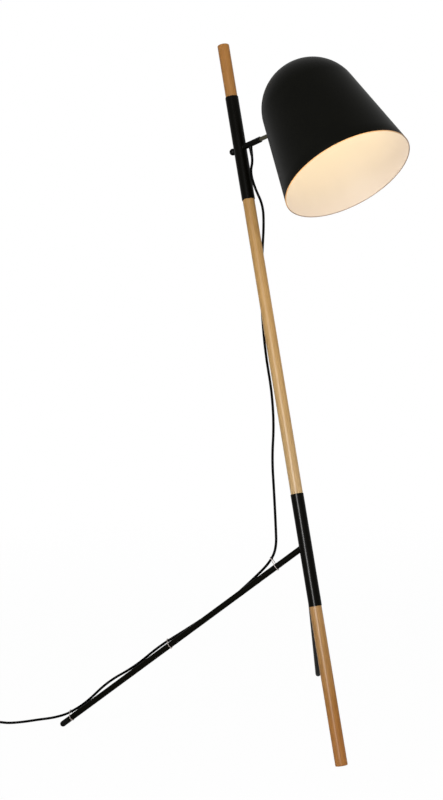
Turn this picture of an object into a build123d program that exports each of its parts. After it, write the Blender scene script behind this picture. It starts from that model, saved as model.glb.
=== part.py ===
"""Adjustable arm floor lamp: a leaning ash pole on two thin legs, with a shade that
slides along the pole, turns round it and swivels on its short arm. Millimetres, +Z up.
The origin is where the pole's axis meets the floor; the pole leans towards -X."""

import os
from math import asin, atan, atan2, cos, degrees, hypot, radians, sin, tan

from build123d import *

os.makedirs("parts", exist_ok=True)

# ---------------------------------------------------------------- driving dimensions
lean = 16.6  # degrees between the pole and the vertical
pole_d = 28.0
pole_length = 1690.0
pole_edge = 2.0  # rounding of both ends
pole_joint = 540.0  # where the two lengths of the pole butt, inside the lower sleeve
dowel_d = 8.0
dowel_depth = 36.0  # of the dowel screw in each length

running = 0.06  # radial clearance of pieces that turn or slide in each other
seat = 0.05  # clearance of pieces that are pressed, glued or welded together

lower_sleeve_d = 30.0
lower_sleeve_length = 256.0
lower_sleeve_base = 359.0  # along the pole, from the floor
sleeve_screw_inset = 20.0  # from each end of the lower sleeve
sleeve_screw_d = 3.5
sleeve_screw_length = 12.0
sleeve_screw_head_d = 7.0
sleeve_screw_head = 2.2

leg_height = 497.0  # where the legs' axes cross the pole's axis, along the pole
leg_d = 14.0
leg_wall = 1.2
foot_back = 454.0  # of each leg's tip, behind the crossing of the legs' axes
foot_side = 383.9  # of each leg's tip, to the side
foot_turn = 0.59  # degrees that the pair of legs stands round from the pole's lean
socket_length = 32.0  # of the welded sockets, from the pole's axis
leg_stud_d = 8.0
leg_stud_grip = 13.0  # of the stud in the socket and in the leg's plug
leg_plug_length = 20.0
tip_cap_length = 19.0  # of the moulded tip outside the tube, up to its dome
tip_spigot_length = 18.0

glide_wall = 0.44
glide_length = 25.0
glide_lip = 0.8
upper_sleeve_d = 31.0
upper_sleeve_length = 250.0
upper_sleeve_drop = 130.66  # of the sleeve's top below the pole's top

arm_below_middle = 1.0  # of the upper sleeve
head_turn = 12.3  # degrees that the arm stands turned about the pole
arm_d = 14.0
arm_wall = 1.2
arm_length = 67.5  # from the pole's axis to the open mouth
rod_d = 10.0
rod_wall = 0.9
rod_start = 44.0  # from the pole's axis
bush_length = 6.8
bush_inset = 3.5  # of the front bush from the arm's mouth
clip_thickness = 1.0
clip_depth = 0.35  # of the groove that each clip sits in
clip_d = 11.3

relief_place = 33.0  # of the lead's exit under the arm, from the pole's axis
relief_hole_d = 7.0
relief_length = 27.0  # from the arm's axis to where the bare lead starts

clamp_thread_d = 6.0
clamp_boss_d = 8.0
clamp_boss = 2.0  # height of the boss on the sleeve
clamp_pad_length = 2.3
knob_d = 16.5
knob_gap = 0.7  # between the knob and the sleeve

shade_mouth_d = 300.0
shade_height = 304.0
shade_dome_radius = 114.0
shade_wall = 1.0
shade_bead_d = 2.4  # rolled edge of the mouth
shade_tilt = 20.7  # degrees between the shade's axis and the pole
shade_reach = 241.0  # from the pole's axis to the shade's, along the arm
shade_hang = 174.0  # of the mouth below the arm, along the shade's axis
shade_seat_d = 20.0
shade_nut = 4.0
shade_nut_flats = 14.0

holder_start = 127.5  # of the lampholder, from the pole's axis
holder_d = 40.0
holder_length = 57.5
holder_cap_length = 25.5
bulb_d = 60.0
bulb_end = 268.0  # of the bulb, from the pole's axis

wire_d = 2.2
wire_spread = 3.0  # between the two wires' centres
wire_rise = 1.0  # of the wires above the arm's axis

lead_d = 6.0
tie_width = 1.6
tie_thickness = 0.8
tie_play = 0.4  # between a tie and the leg
tie_lead_play = 1.4  # between a tie and the lead
tie_knot_width = 3.4
tie_knot_depth = 2.6
coil_centre = (-731.7, -657.2)
coil_d = 84.6
coil_hole_d = 47.0
coil_height = 12.2

switch_start = (-708.0, -538.0)
switch_heading = 240.0  # degrees from +X that the lead runs in
switch_length = 60.0
switch_width = 26.0
switch_height = 20.0
switch_wall = 1.8
switch_split = 8.0  # height of the joint between base and cover
rocker_length = 20.0
rocker_width = 10.4
rocker_play = 0.4
rocker_tilt = 7.0
rocker_pivot = 15.0  # height of its pins
rocker_pin_d = 2.4

plug_start = (-670.0, -629.1)
plug_heading = 60.0
plug_width = 35.3
plug_height = 13.7
plug_length = 36.0
plug_relief = 24.0
pin_d = 4.0
pin_length = 19.0
pin_rounding = 1.6
pin_spacing = 19.0

# The lead's route as its corners: down from the arm, past the back of the pole,
# along the left leg, over the floor to the switch, then to the coil and to the plug.
lead_hang_route = [
    (-371.9, 7.0, 1360.4),
    (-367.9, 7.0, 1347.0),
    (-368.4, 0.6, 1321.4),
    (-361.0, 7.8, 1285.6),
    (-349.8, 24.2, 1243.9),
    (-347.5, 24.6, 1195.2),
    (-345.8, 20.2, 1146.5),
    (-341.4, 14.5, 1097.7),
    (-332.7, 7.4, 1046.0),
    (-314.8, -0.3, 970.0),
    (-295.7, -3.6, 893.0),
    (-273.6, -2.4, 816.0),
    (-257.7, -7.1, 738.0),
    (-245.2, -20.9, 664.0),
    (-230.7, -25.1, 590.0),
    (-212.9, -32.4, 514.0),
    (-202.6, -37.2, 463.6),
    (-209.1, -51.2, 430.3),
    (-239.4, -75.0, 390.2),
    (-281.4, -105.9, 340.4),
    (-328.2, -145.3, 293.8),
    (-371.1, -186.1, 252.5),
    (-410.9, -225.4, 215.5),
    (-461.5, -264.0, 159.0),
    (-509.9, -309.7, 119.1),
    (-556.9, -342.6, 61.3),
    (-589.3, -368.5, 33.3),
    (-623.3, -372.4, 16.8),
    (-657.0, -386.0, 3.2),
    (-664.0, -420.0, 3.0),
    (-667.0, -455.0, 3.0),
    (-677.0, -489.0, 3.0),
    (-688.0, -505.0, 4.5),
    (-699.0, -522.4, 8.0),
    (-710.5, -542.3, 8.0),
]
lead_splits = [5, 17, 26]  # the runs at whose middle one tube meets the next
lead_coil_route = [
    (-735.5, -585.7, 8.0),
    (-747.0, -605.6, 8.0),
    (-757.0, -621.0, 4.5),
    (-765.5, -637.7, 3.0),
]
lead_plug_route = [
    (-697.9, -676.7, 9.0),
    (-689.0, -660.0, 8.6),
    (-679.0, -644.7, 6.9),
    (-670.0, -629.1, 6.9),
]
# Each tie: its place along the left leg, and the lead's centre seen from the leg's axis.
lead_ties = [(86.0, -6.9, 20.7), (412.0, -6.5, 10.6), (729.0, -15.6, 11.5)]

# ---------------------------------------------------------------- axes and planes
lean_sin, lean_cos = sin(radians(lean)), cos(radians(lean))
pole_axis = Plane(origin=(0, 0, 0), x_dir=(lean_cos, 0, lean_sin), z_dir=(-lean_sin, 0, lean_cos))
pole_radius = pole_d / 2
pole_foot = (pole_edge + (pole_radius - pole_edge) * lean_sin) / lean_cos - pole_edge
pole_top = pole_foot + pole_length

upper_sleeve_base = pole_top - upper_sleeve_drop - upper_sleeve_length
arm_height = upper_sleeve_base + upper_sleeve_length / 2 - arm_below_middle
head = Plane(pole_axis.offset(arm_height).location * Location((0, 0, 0), (0, 0, head_turn)))
arm_axis = Plane(origin=head.origin, x_dir=head.y_dir, z_dir=head.x_dir)
clamp_axis = Plane(origin=head.origin, x_dir=head.y_dir, z_dir=-head.x_dir)
relief_origin = head.from_local_coords(Vector(relief_place, 0, 0))
relief_axis = Plane(origin=relief_origin, x_dir=head.x_dir, z_dir=-head.z_dir)
shade_axis = Plane(head.location * Location((shade_reach, 0, 0), (0, -shade_tilt, 0))).offset(
    -shade_hang
)

socket_crossing = pole_axis.offset(leg_height).origin
leg_tips_at = [
    Vector(socket_crossing.X, 0, leg_d / 2)
    + Vector(-foot_back, side * foot_side, 0).rotate(Axis.Z, foot_turn)
    for side in (-1, 1)
]
leg_axes = [
    Plane(
        origin=socket_crossing,
        x_dir=Vector(0, 0, 1).cross(tip - socket_crossing),
        z_dir=tip - socket_crossing,
    )
    for tip in leg_tips_at
]
leg_reach = (leg_tips_at[0] - socket_crossing).length  # to the centre of the tip's dome

switch_plane = Plane(Location((*switch_start, 0), (0, 0, switch_heading)))
plug_along = Vector(cos(radians(plug_heading)), sin(radians(plug_heading)), 0)
plug_axis = Plane(
    origin=(*plug_start, plug_height / 2 + seat),
    x_dir=plug_along.cross(Vector(0, 0, 1)),
    z_dir=plug_along,
)


def section(axis):
    """The half plane that a turned piece's outline is drawn on: x outwards, y along the axis."""
    return Plane(origin=axis.origin, x_dir=axis.x_dir, z_dir=-axis.y_dir)


def spindle(axis):
    """The line that a turned piece is turned about."""
    return Axis(axis.origin, axis.z_dir)


def save(piece, name):
    piece.part.label = name
    export_step(piece.part, f"parts/{name}.step")


# ---------------------------------------------------------------- the pole
dowel_hole_d = dowel_d + 2 * seat
screw_places = (
    lower_sleeve_base + sleeve_screw_inset,
    lower_sleeve_base + lower_sleeve_length - sleeve_screw_inset,
)
back_of_pole = Plane(origin=(0, 0, 0), x_dir=pole_axis.y_dir, z_dir=-pole_axis.x_dir)


def screw_plane(place):
    """On the pole's axis at a sleeve screw, facing the way the screw's head faces."""
    return Plane(
        origin=pole_axis.offset(place).origin, x_dir=back_of_pole.x_dir, z_dir=back_of_pole.z_dir
    )


screw_tip = lower_sleeve_d / 2 - sleeve_screw_length  # from the pole's axis

with BuildPart() as lower_pole:
    with BuildSketch(pole_axis.offset(pole_foot)):
        Circle(pole_radius)
    extrude(amount=pole_joint - pole_foot)
    fillet(lower_pole.edges().sort_by(spindle(pole_axis))[0], pole_edge)
    with BuildSketch(pole_axis.offset(pole_joint - dowel_depth)):
        Circle(dowel_hole_d / 2)
    extrude(amount=dowel_depth, mode=Mode.SUBTRACT)
    with BuildSketch(screw_plane(screw_places[0]).offset(screw_tip - seat)):
        Circle(sleeve_screw_d / 2 + seat)
    extrude(amount=sleeve_screw_length, mode=Mode.SUBTRACT)
save(lower_pole, "lower_pole")

with BuildPart() as upper_pole:
    with BuildSketch(pole_axis.offset(pole_joint)):
        Circle(pole_radius)
    extrude(amount=pole_top - pole_joint)
    fillet(upper_pole.edges().sort_by(spindle(pole_axis))[-1], pole_edge)
    with BuildSketch(pole_axis.offset(pole_joint)):
        Circle(dowel_hole_d / 2)
    extrude(amount=dowel_depth, mode=Mode.SUBTRACT)
    with BuildSketch(screw_plane(screw_places[1]).offset(screw_tip - seat)):
        Circle(sleeve_screw_d / 2 + seat)
    extrude(amount=sleeve_screw_length, mode=Mode.SUBTRACT)
save(upper_pole, "upper_pole")

with BuildPart() as dowel_screw:
    with BuildSketch(pole_axis.offset(pole_joint - dowel_depth + seat)):
        Circle(dowel_d / 2)
    extrude(amount=2 * (dowel_depth - seat))
    chamfer(dowel_screw.edges().filter_by(GeomType.CIRCLE), dowel_d / 5)
save(dowel_screw, "pole_dowel_screw")

# ---------------------------------------------------------------- the lower sleeve
sleeve_bore = pole_radius + seat

with BuildPart() as lower_sleeve:
    with BuildSketch(pole_axis.offset(lower_sleeve_base)):
        Circle(lower_sleeve_d / 2)
        Circle(sleeve_bore, mode=Mode.SUBTRACT)
    extrude(amount=lower_sleeve_length)
    for place in screw_places:
        with BuildSketch(screw_plane(place)):
            Circle(sleeve_screw_d / 2 + seat)
        extrude(amount=lower_sleeve_d, mode=Mode.SUBTRACT)
save(lower_sleeve, "lower_sleeve")

with BuildPart() as sleeve_screws:
    for place in screw_places:
        with BuildSketch(section(screw_plane(place))):
            with BuildLine():
                head_base = lower_sleeve_d / 2 + seat
                head_top = head_base + sleeve_screw_head
                Polyline(
                    (0, head_top),
                    (0, screw_tip),
                    (sleeve_screw_d / 2, screw_tip + sleeve_screw_d),
                    (sleeve_screw_d / 2, head_base),
                    (sleeve_screw_head_d / 2, head_base),
                    (sleeve_screw_head_d / 2, head_base + sleeve_screw_head / 3),
                    (sleeve_screw_head_d * 0.36, head_top),
                    close=True,
                )
            make_face()
        revolve(axis=spindle(screw_plane(place)))
        with BuildSketch(screw_plane(place).offset(head_top)):
            for turn in (0, 90):
                Rectangle(sleeve_screw_head_d * 0.6, 1.0, rotation=turn)
        extrude(amount=-sleeve_screw_head * 0.55, mode=Mode.SUBTRACT)
save(sleeve_screws, "sleeve_screws")

# ---------------------------------------------------------------- legs
leg_start = socket_length + 0.2
tube_end = leg_reach - tip_cap_length
leg_bore = leg_d / 2 - leg_wall
stud_hole = leg_stud_d / 2 + seat

with BuildPart() as leg_sockets:
    for leg in leg_axes:
        with BuildSketch(leg.offset(leg_d / 2)):
            Circle(leg_d / 2)
        extrude(amount=socket_length - leg_d / 2)
    with BuildSketch(pole_axis.offset(lower_sleeve_base)):
        Circle(lower_sleeve_d / 2 + seat)
    extrude(amount=lower_sleeve_length, mode=Mode.SUBTRACT)
    for leg in leg_axes:
        with BuildSketch(leg.offset(socket_length - leg_stud_grip - seat)):
            Circle(stud_hole)
        extrude(amount=leg_stud_grip + seat, mode=Mode.SUBTRACT)
save(leg_sockets, "leg_sockets")

with BuildPart() as leg_studs:
    for leg in leg_axes:
        with BuildSketch(leg.offset(socket_length - leg_stud_grip)):
            Circle(leg_stud_d / 2)
        extrude(amount=2 * leg_stud_grip)
    chamfer(leg_studs.edges().filter_by(GeomType.CIRCLE), leg_stud_d / 8)
save(leg_studs, "leg_studs")

with BuildPart() as leg_plugs:
    for leg in leg_axes:
        with BuildSketch(leg.offset(leg_start)):
            Circle(leg_bore - seat)
            Circle(stud_hole, mode=Mode.SUBTRACT)
        extrude(amount=leg_plug_length)
save(leg_plugs, "leg_plugs")

for leg, name in zip(leg_axes, ("left_leg", "rear_leg")):
    with BuildPart() as leg_tube:
        with BuildSketch(leg.offset(leg_start)):
            Circle(leg_d / 2)
            Circle(leg_bore, mode=Mode.SUBTRACT)
        extrude(amount=tube_end - leg_start)
    save(leg_tube, name)

with BuildPart() as leg_tips:
    for leg in leg_axes:
        with BuildSketch(section(leg)):
            with BuildLine():
                Polyline(
                    (0, leg_reach + leg_d / 2),
                    (0, tube_end - tip_spigot_length),
                    (leg_bore - 2 * seat - 1, tube_end - tip_spigot_length),
                    (leg_bore - seat, tube_end - tip_spigot_length + 2),
                    (leg_bore - seat, tube_end + seat),
                    (leg_d / 2 - 0.5, tube_end + seat),
                    (leg_d / 2, tube_end + 1),
                    (leg_d / 2, leg_reach),
                )
                CenterArc((0, leg_reach), leg_d / 2, 0, 90)
            make_face()
        revolve(axis=spindle(leg))
save(leg_tips, "leg_tips")

# ---------------------------------------------------------------- the sliding head
glide_bore = pole_radius + running
glide_radius = glide_bore + glide_wall
head_bore = glide_radius + running
upper_sleeve_top = upper_sleeve_base + upper_sleeve_length

with BuildPart() as glide_bushes:
    for end, inwards in ((upper_sleeve_base, 1), (upper_sleeve_top, -1)):
        with BuildSketch(section(pole_axis)):
            with BuildLine():
                lip = end - inwards * (glide_lip + seat)
                step = end - inwards * seat
                Polyline(
                    (glide_bore, lip),
                    (upper_sleeve_d / 2 - 0.1, lip),
                    (upper_sleeve_d / 2 - 0.1, step),
                    (glide_radius, step),
                    (glide_radius, end + inwards * glide_length),
                    (glide_bore, end + inwards * glide_length),
                    close=True,
                )
            make_face()
        revolve(axis=spindle(pole_axis))
save(glide_bushes, "glide_bushes")

with BuildPart() as upper_sleeve:
    with BuildSketch(pole_axis.offset(upper_sleeve_base)):
        Circle(upper_sleeve_d / 2)
        Circle(head_bore, mode=Mode.SUBTRACT)
    extrude(amount=upper_sleeve_length)
    with BuildSketch(clamp_axis.offset(head_bore + 0.1)):
        Circle(clamp_boss_d / 2)
    extrude(amount=upper_sleeve_d / 2 + clamp_boss - head_bore - 0.1)
    with BuildSketch(clamp_axis):
        Circle(clamp_thread_d / 2)
    extrude(amount=upper_sleeve_d, mode=Mode.SUBTRACT)
save(upper_sleeve, "upper_sleeve")

arm_bore = arm_d / 2 - arm_wall

with BuildPart() as arm_tube:
    with BuildSketch(arm_axis.offset(upper_sleeve_d / 3)):
        Circle(arm_d / 2)
        Circle(arm_bore, mode=Mode.SUBTRACT)
    extrude(amount=arm_length - upper_sleeve_d / 3)
    with BuildSketch(head.offset(-arm_d)):
        Circle(upper_sleeve_d / 2 + seat)
    extrude(amount=2 * arm_d, mode=Mode.SUBTRACT)
    with BuildSketch(relief_axis):
        Circle(relief_hole_d / 2 + seat)
    extrude(amount=arm_d, mode=Mode.SUBTRACT)
save(arm_tube, "arm_tube")

front_bush = arm_length - bush_inset - bush_length
rear_clip = rod_start + 4.0
rear_bush = rear_clip + clip_thickness + 0.3
front_clip = front_bush + bush_length + 0.3
rod_radius = rod_d / 2

with BuildPart() as arm_bushes:
    for place in (rear_bush, front_bush):
        with BuildSketch(arm_axis.offset(place)):
            Circle(arm_bore - seat)
            Circle(rod_radius + running, mode=Mode.SUBTRACT)
        extrude(amount=bush_length)
save(arm_bushes, "arm_bushes")

# ---------------------------------------------------------------- clamp knob
pad_start = pole_radius + running
pad_end = pole_radius + running + clamp_pad_length
knob_base = upper_sleeve_d / 2 + knob_gap
knob_centre = knob_base + knob_d / 2 - 0.05
screw_end = knob_centre + 2.0

with BuildPart() as clamp_pad:
    with BuildSketch(clamp_axis.offset(pole_radius / 2)):
        Circle(clamp_thread_d / 2 - running)
    extrude(amount=pad_end - pole_radius / 2)
    with BuildSketch(head.offset(-clamp_thread_d)):
        Circle(pad_start)
    extrude(amount=2 * clamp_thread_d, mode=Mode.SUBTRACT)
save(clamp_pad, "clamp_pad")

with BuildPart() as clamp_screw:
    with BuildSketch(clamp_axis.offset(pad_end + seat)):
        Circle(clamp_thread_d / 2 - running)
    extrude(amount=screw_end - pad_end - seat)
    chamfer(clamp_screw.edges().filter_by(GeomType.CIRCLE).sort_by(spindle(clamp_axis))[0], 0.5)
save(clamp_screw, "clamp_screw")

with BuildPart() as clamp_knob:
    with BuildSketch(section(clamp_axis)):
        with BuildLine():
            recess = upper_sleeve_d / 2 + clamp_boss + 1.0
            recess_radius = clamp_boss_d / 2 + 0.6
            recess_mouth = knob_centre - (knob_d**2 / 4 - recess_radius**2) ** 0.5
            Polyline(
                (0, knob_centre + knob_d / 2),
                (0, screw_end + seat),
                (clamp_thread_d / 2, screw_end + seat),
                (clamp_thread_d / 2, recess),
                (recess_radius, recess),
                (recess_radius, recess_mouth),
            )
            ThreePointArc(
                (recess_radius, recess_mouth),
                (knob_d / 2, knob_centre),
                (0, knob_centre + knob_d / 2),
            )
        make_face()
    revolve(axis=spindle(clamp_axis))
save(clamp_knob, "clamp_knob")

# ---------------------------------------------------------------- rod and shade
rod_end = holder_start + 9.0
clip_bore = rod_radius - clip_depth + seat

with BuildPart() as arm_rod:
    with BuildSketch(arm_axis.offset(rod_start)):
        Circle(rod_radius)
        Circle(rod_radius - rod_wall, mode=Mode.SUBTRACT)
    extrude(amount=rod_end - rod_start)
    for place in (rear_clip, front_clip):
        with BuildSketch(arm_axis.offset(place - seat)):
            Circle(rod_radius + 1)
            Circle(rod_radius - clip_depth, mode=Mode.SUBTRACT)
        extrude(amount=clip_thickness + 2 * seat, mode=Mode.SUBTRACT)
save(arm_rod, "arm_rod")

with BuildPart() as rod_clips:
    for place in (rear_clip, front_clip):
        with BuildSketch(arm_axis.offset(place)):
            Circle(clip_d / 2)
            Circle(clip_bore, mode=Mode.SUBTRACT)
            with Locations((0, -clip_d / 2)):
                Rectangle(3.0, clip_d, mode=Mode.SUBTRACT)
        extrude(amount=clip_thickness)
save(rod_clips, "rod_clips")

# The wall runs straight from the mouth until it is tangent to the dome.
dome_centre_height = shade_height - shade_dome_radius
mouth_radius = shade_mouth_d / 2
flare = atan(mouth_radius / dome_centre_height) - asin(
    shade_dome_radius / hypot(mouth_radius, dome_centre_height)
)
dome_centre = shade_axis.offset(dome_centre_height).origin


def tangent_point(radius):
    """Where a dome of this radius takes over from the straight wall."""
    return (radius * cos(flare), dome_centre_height + radius * sin(flare))


with BuildPart() as shade:
    with BuildSketch(section(shade_axis)):
        with BuildLine():
            inner_dome = shade_dome_radius - shade_wall
            Line((mouth_radius, 0), tangent_point(shade_dome_radius))
            CenterArc(
                (0, dome_centre_height),
                shade_dome_radius,
                degrees(flare),
                90 - degrees(flare),
            )
            Line((0, shade_height), (0, shade_height - shade_wall))
            CenterArc((0, dome_centre_height), inner_dome, degrees(flare), 90 - degrees(flare))
            Line(tangent_point(inner_dome), (mouth_radius - shade_wall / cos(flare), 0))
            Line((mouth_radius - shade_wall / cos(flare), 0), (mouth_radius, 0))
        make_face()
        with Locations((mouth_radius - shade_bead_d / 2, 0)):
            Circle(shade_bead_d / 2)
    revolve(axis=spindle(shade_axis))
    with BuildSketch(arm_axis.offset(shade_reach - shade_dome_radius - 2 * shade_seat_d)):
        Circle(rod_radius + 0.2)
    extrude(amount=3 * shade_seat_d, mode=Mode.SUBTRACT)
save(shade, "shade")

seat_start = holder_start - 9.5
seat_bore = rod_radius + seat

with BuildPart() as outer_seat:
    with BuildSketch(arm_axis.offset(seat_start)):
        Circle(shade_seat_d / 2)
        Circle(seat_bore, mode=Mode.SUBTRACT)
    extrude(amount=shade_seat_d / 2)
    with Locations(dome_centre):
        Sphere(shade_dome_radius + 0.15, mode=Mode.SUBTRACT)
save(outer_seat, "shade_outer_seat")

with BuildPart() as inner_seat:
    with BuildSketch(arm_axis.offset(seat_start)):
        Circle(shade_seat_d / 2)
        Circle(seat_bore, mode=Mode.SUBTRACT)
    extrude(amount=holder_start - seat - seat_start)
    with Locations(dome_centre):
        Sphere(shade_dome_radius - shade_wall - seat, mode=Mode.INTERSECT)
save(inner_seat, "shade_inner_seat")

with BuildPart() as shade_nut_piece:
    with BuildSketch(arm_axis.offset(seat_start - seat - shade_nut)):
        RegularPolygon(shade_nut_flats / 2, 6, major_radius=False)
        Circle(seat_bore, mode=Mode.SUBTRACT)
    extrude(amount=shade_nut)
save(shade_nut_piece, "shade_nut")

# ---------------------------------------------------------------- lampholder and bulb
holder_radius = holder_d / 2
holder_end = holder_start + holder_length
cap_end = holder_start + holder_cap_length
core_start = cap_end - 3.3
core_step = cap_end - 0.1
core_end = cap_end + 5.0
shell_radius = 13.5  # of the brass thread that the bulb screws into
skirt_bore = shell_radius + 0.8

with BuildPart() as holder_cap:
    with BuildSketch(section(arm_axis)):
        with BuildLine():
            Polyline(
                (holder_radius, cap_end - 4),
                (holder_radius, cap_end),
                (holder_radius - 2, cap_end),
                (holder_radius - 2, core_start - 0.5),
                (rod_radius + 2.5, holder_start + 9.6),
                (seat_bore, holder_start + 9.6),
                (seat_bore, holder_start),
                (rod_radius + 4, holder_start),
                (rod_radius + 4, holder_start + 6),
            )
            Spline(
                (rod_radius + 4, holder_start + 6),
                (holder_radius, cap_end - 4),
                tangents=[(0.6, 0.8), (0, 1)],
            )
        make_face()
    revolve(axis=spindle(arm_axis))
save(holder_cap, "lampholder_cap")

with BuildPart() as holder_core:
    with BuildSketch(arm_axis.offset(core_start)):
        Circle(holder_radius - 2 - 2 * seat)
    extrude(amount=core_step - core_start)
    with BuildSketch(arm_axis.offset(core_step)):
        Circle(skirt_bore - 2 * seat)
    extrude(amount=core_end - core_step)
    with BuildSketch(arm_axis.offset(core_start)):
        for side in (-1, 1):
            with Locations((side * wire_spread / 2, wire_rise)):
                Circle(wire_d / 2 + seat)
    extrude(amount=2.0, mode=Mode.SUBTRACT)
save(holder_core, "lampholder_core")

with BuildPart() as holder_skirt:
    with BuildSketch(section(arm_axis)):
        with BuildLine():
            Polyline(
                (skirt_bore, cap_end + seat),
                (holder_radius, cap_end + seat),
                (holder_radius, cap_end + 10),
                (holder_radius - 0.8, cap_end + 11),
                (holder_radius - 1.4, holder_end - 1),
                (holder_radius - 2.4, holder_end),
                (skirt_bore, holder_end),
                close=True,
            )
        make_face()
    revolve(axis=spindle(arm_axis))
save(holder_skirt, "lampholder_skirt")

with BuildPart() as holder_shell:
    with BuildSketch(arm_axis.offset(core_end + seat)):
        Circle(skirt_bore - 2 * seat)
        Circle(shell_radius, mode=Mode.SUBTRACT)
    extrude(amount=holder_end - 3 - core_end - seat)
save(holder_shell, "lampholder_thread")

tip_start = core_end + 2.6

with BuildPart() as holder_contact:
    with BuildSketch(section(arm_axis)):
        with BuildLine():
            Polyline(
                (0, core_end + seat),
                (3.5, core_end + seat),
                (3.5, core_end + 0.8),
                (2.0, tip_start - seat),
                (0, tip_start - seat),
                close=True,
            )
        make_face()
    revolve(axis=spindle(arm_axis))
save(holder_contact, "lampholder_contact")

neck = holder_end + 1.0
cap_radius = shell_radius - 0.2

with BuildPart() as bulb_cap:
    with BuildSketch(section(arm_axis)):
        with BuildLine():
            Polyline(
                (0, tip_start),
                (4.0, tip_start),
                (6.0, tip_start + 2),
                (cap_radius - 1.0, tip_start + 6),
                (cap_radius, tip_start + 7),
                (cap_radius, neck - seat),
                (cap_radius - 1.5, neck - seat),
                (cap_radius - 1.5, tip_start + 7.5),
                (5.0, tip_start + 3.5),
                (0, tip_start + 3.5),
                close=True,
            )
        make_face()
    revolve(axis=spindle(arm_axis))
save(bulb_cap, "bulb_cap")

bulb_radius = bulb_d / 2
bulb_wall = 1.0
bulb_middle = bulb_end - bulb_radius


def bulb_outline(radius, start):
    """Half of the bulb's section, from its tip round to its neck."""
    shoulder = radians(-32)
    shoulder_point = (radius * cos(shoulder), bulb_middle + radius * sin(shoulder))
    neck_radius = shell_radius + 1.0 - (bulb_radius - radius)
    CenterArc((0, bulb_middle), radius, -32, 122)
    Spline(
        shoulder_point,
        (neck_radius, start),
        tangents=[(sin(shoulder), -cos(shoulder)), (0, -1)],
    )
    Polyline((neck_radius, start), (0, start), (0, bulb_middle + radius))


with BuildPart() as bulb_globe:
    with BuildSketch(section(arm_axis)):
        with BuildLine():
            bulb_outline(bulb_radius, neck)
        make_face()
    revolve(axis=spindle(arm_axis))
    with BuildSketch(section(arm_axis)):
        with BuildLine():
            bulb_outline(bulb_radius - bulb_wall, neck + bulb_wall)
        make_face()
    revolve(axis=spindle(arm_axis), mode=Mode.SUBTRACT)
save(bulb_globe, "bulb_globe")

# ---------------------------------------------------------------- wiring in the arm
wire_places = [(side * wire_spread / 2, wire_rise) for side in (-1, 1)]
wire_bend = 2.2 * wire_d

with BuildPart() as rod_wires:
    with BuildSketch(arm_axis.offset(rod_start)):
        with Locations(*wire_places):
            Circle(wire_d / 2)
    extrude(amount=core_start + 2.0 - seat - rod_start)
save(rod_wires, "rod_wires")

relief_top = 5.6
with BuildPart() as arm_wires:
    for side in (-1, 1):
        with BuildLine() as bend:
            corners = [
                head.from_local_coords(Vector(*place))
                for place in (
                    (relief_place, side * wire_spread / 2, -relief_top),
                    (relief_place, side * wire_spread / 2, wire_rise),
                    (rod_start - seat, side * wire_spread / 2, wire_rise),
                )
            ]
            FilletPolyline(*corners, radius=wire_bend)
        with BuildSketch(Plane(origin=corners[0], z_dir=head.z_dir)):
            Circle(wire_d / 2)
        sweep(path=bend.wires()[0])
save(arm_wires, "arm_wires")

with BuildPart() as lead_relief:
    with BuildSketch(section(relief_axis)):
        with BuildLine():
            Polyline(
                (lead_d / 2 + 0.4, relief_length), (0, relief_length), (0, arm_d / 4), (5, arm_d / 4)
            )
            Line((5, arm_d / 4), (5, arm_d / 2 + 0.8))
            Spline(
                (5, arm_d / 2 + 0.8),
                (lead_d / 2 + 0.9, arm_d / 2 + 6),
                (lead_d / 2 + 0.4, relief_length),
                tangents=[(-0.6, 1), (0, 1)],
            )
        make_face()
    revolve(axis=spindle(relief_axis))
    with BuildSketch(arm_axis.offset(relief_place - arm_d)):
        Circle(arm_d / 2 + seat)
    extrude(amount=2 * arm_d, mode=Mode.SUBTRACT)
    with BuildSketch(relief_axis.offset(relief_top)):
        Circle(relief_hole_d / 2)
    extrude(amount=arm_d / 2 + 3 - relief_top)
save(lead_relief, "lead_relief")

# ---------------------------------------------------------------- the mains lead


def corner_radii(route):
    """As large an arc at each corner as its two runs leave room for."""
    radii = []
    for before, at, after in zip(route, route[1:], route[2:]):
        arriving, leaving = Vector(*at) - Vector(*before), Vector(*after) - Vector(*at)
        half_turn = radians(arriving.get_angle(leaving)) / 2
        radii.append(0.45 * min(arriving.length, leaving.length) / tan(half_turn))
    return radii


def middle(route, run):
    """The middle of a run, counted from 0."""
    return tuple((a + b) / 2 for a, b in zip(route[run], route[run + 1]))


def lead_stretches(route, splits):
    """The route cut at the middle of some runs: each stretch's points and its radii."""
    radii = corner_radii(route)
    print("lead radii:", [round(r) for r in radii])
    cuts = [-1, *splits, len(route) - 1]
    stretches = []
    for start, end in zip(cuts, cuts[1:]):
        points = list(route[start + 1 : end + 1])
        if start >= 0:
            points.insert(0, middle(route, start))
        if end < len(route) - 1:
            points.append(middle(route, end))
        stretches.append((points, radii[max(start, 0) : end if end < len(route) - 1 else end - 1]))
    return stretches


def lead_tube(points, radii, name, ends_on_coil=False):
    with BuildPart() as tube:
        with BuildLine() as run:
            FilletPolyline(*points, radius=radii)
        with BuildSketch(Plane(origin=points[0], z_dir=Vector(*points[1]) - Vector(*points[0]))):
            Circle(lead_d / 2)
        sweep(path=run.wires()[0])
    length = run.wires()[0].length
    expected = 3.14159265 * lead_d**2 / 4 * length
    print(f"{name}: {length:.0f} mm long, volume {tube.part.volume / expected:.4f} of the expected")
    if ends_on_coil:
        with tube:
            with BuildSketch(Plane.XY):
                with Locations(coil_centre):
                    Circle(coil_d / 2)
            extrude(amount=2 * coil_height, mode=Mode.SUBTRACT)
    save(tube, name)


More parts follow.
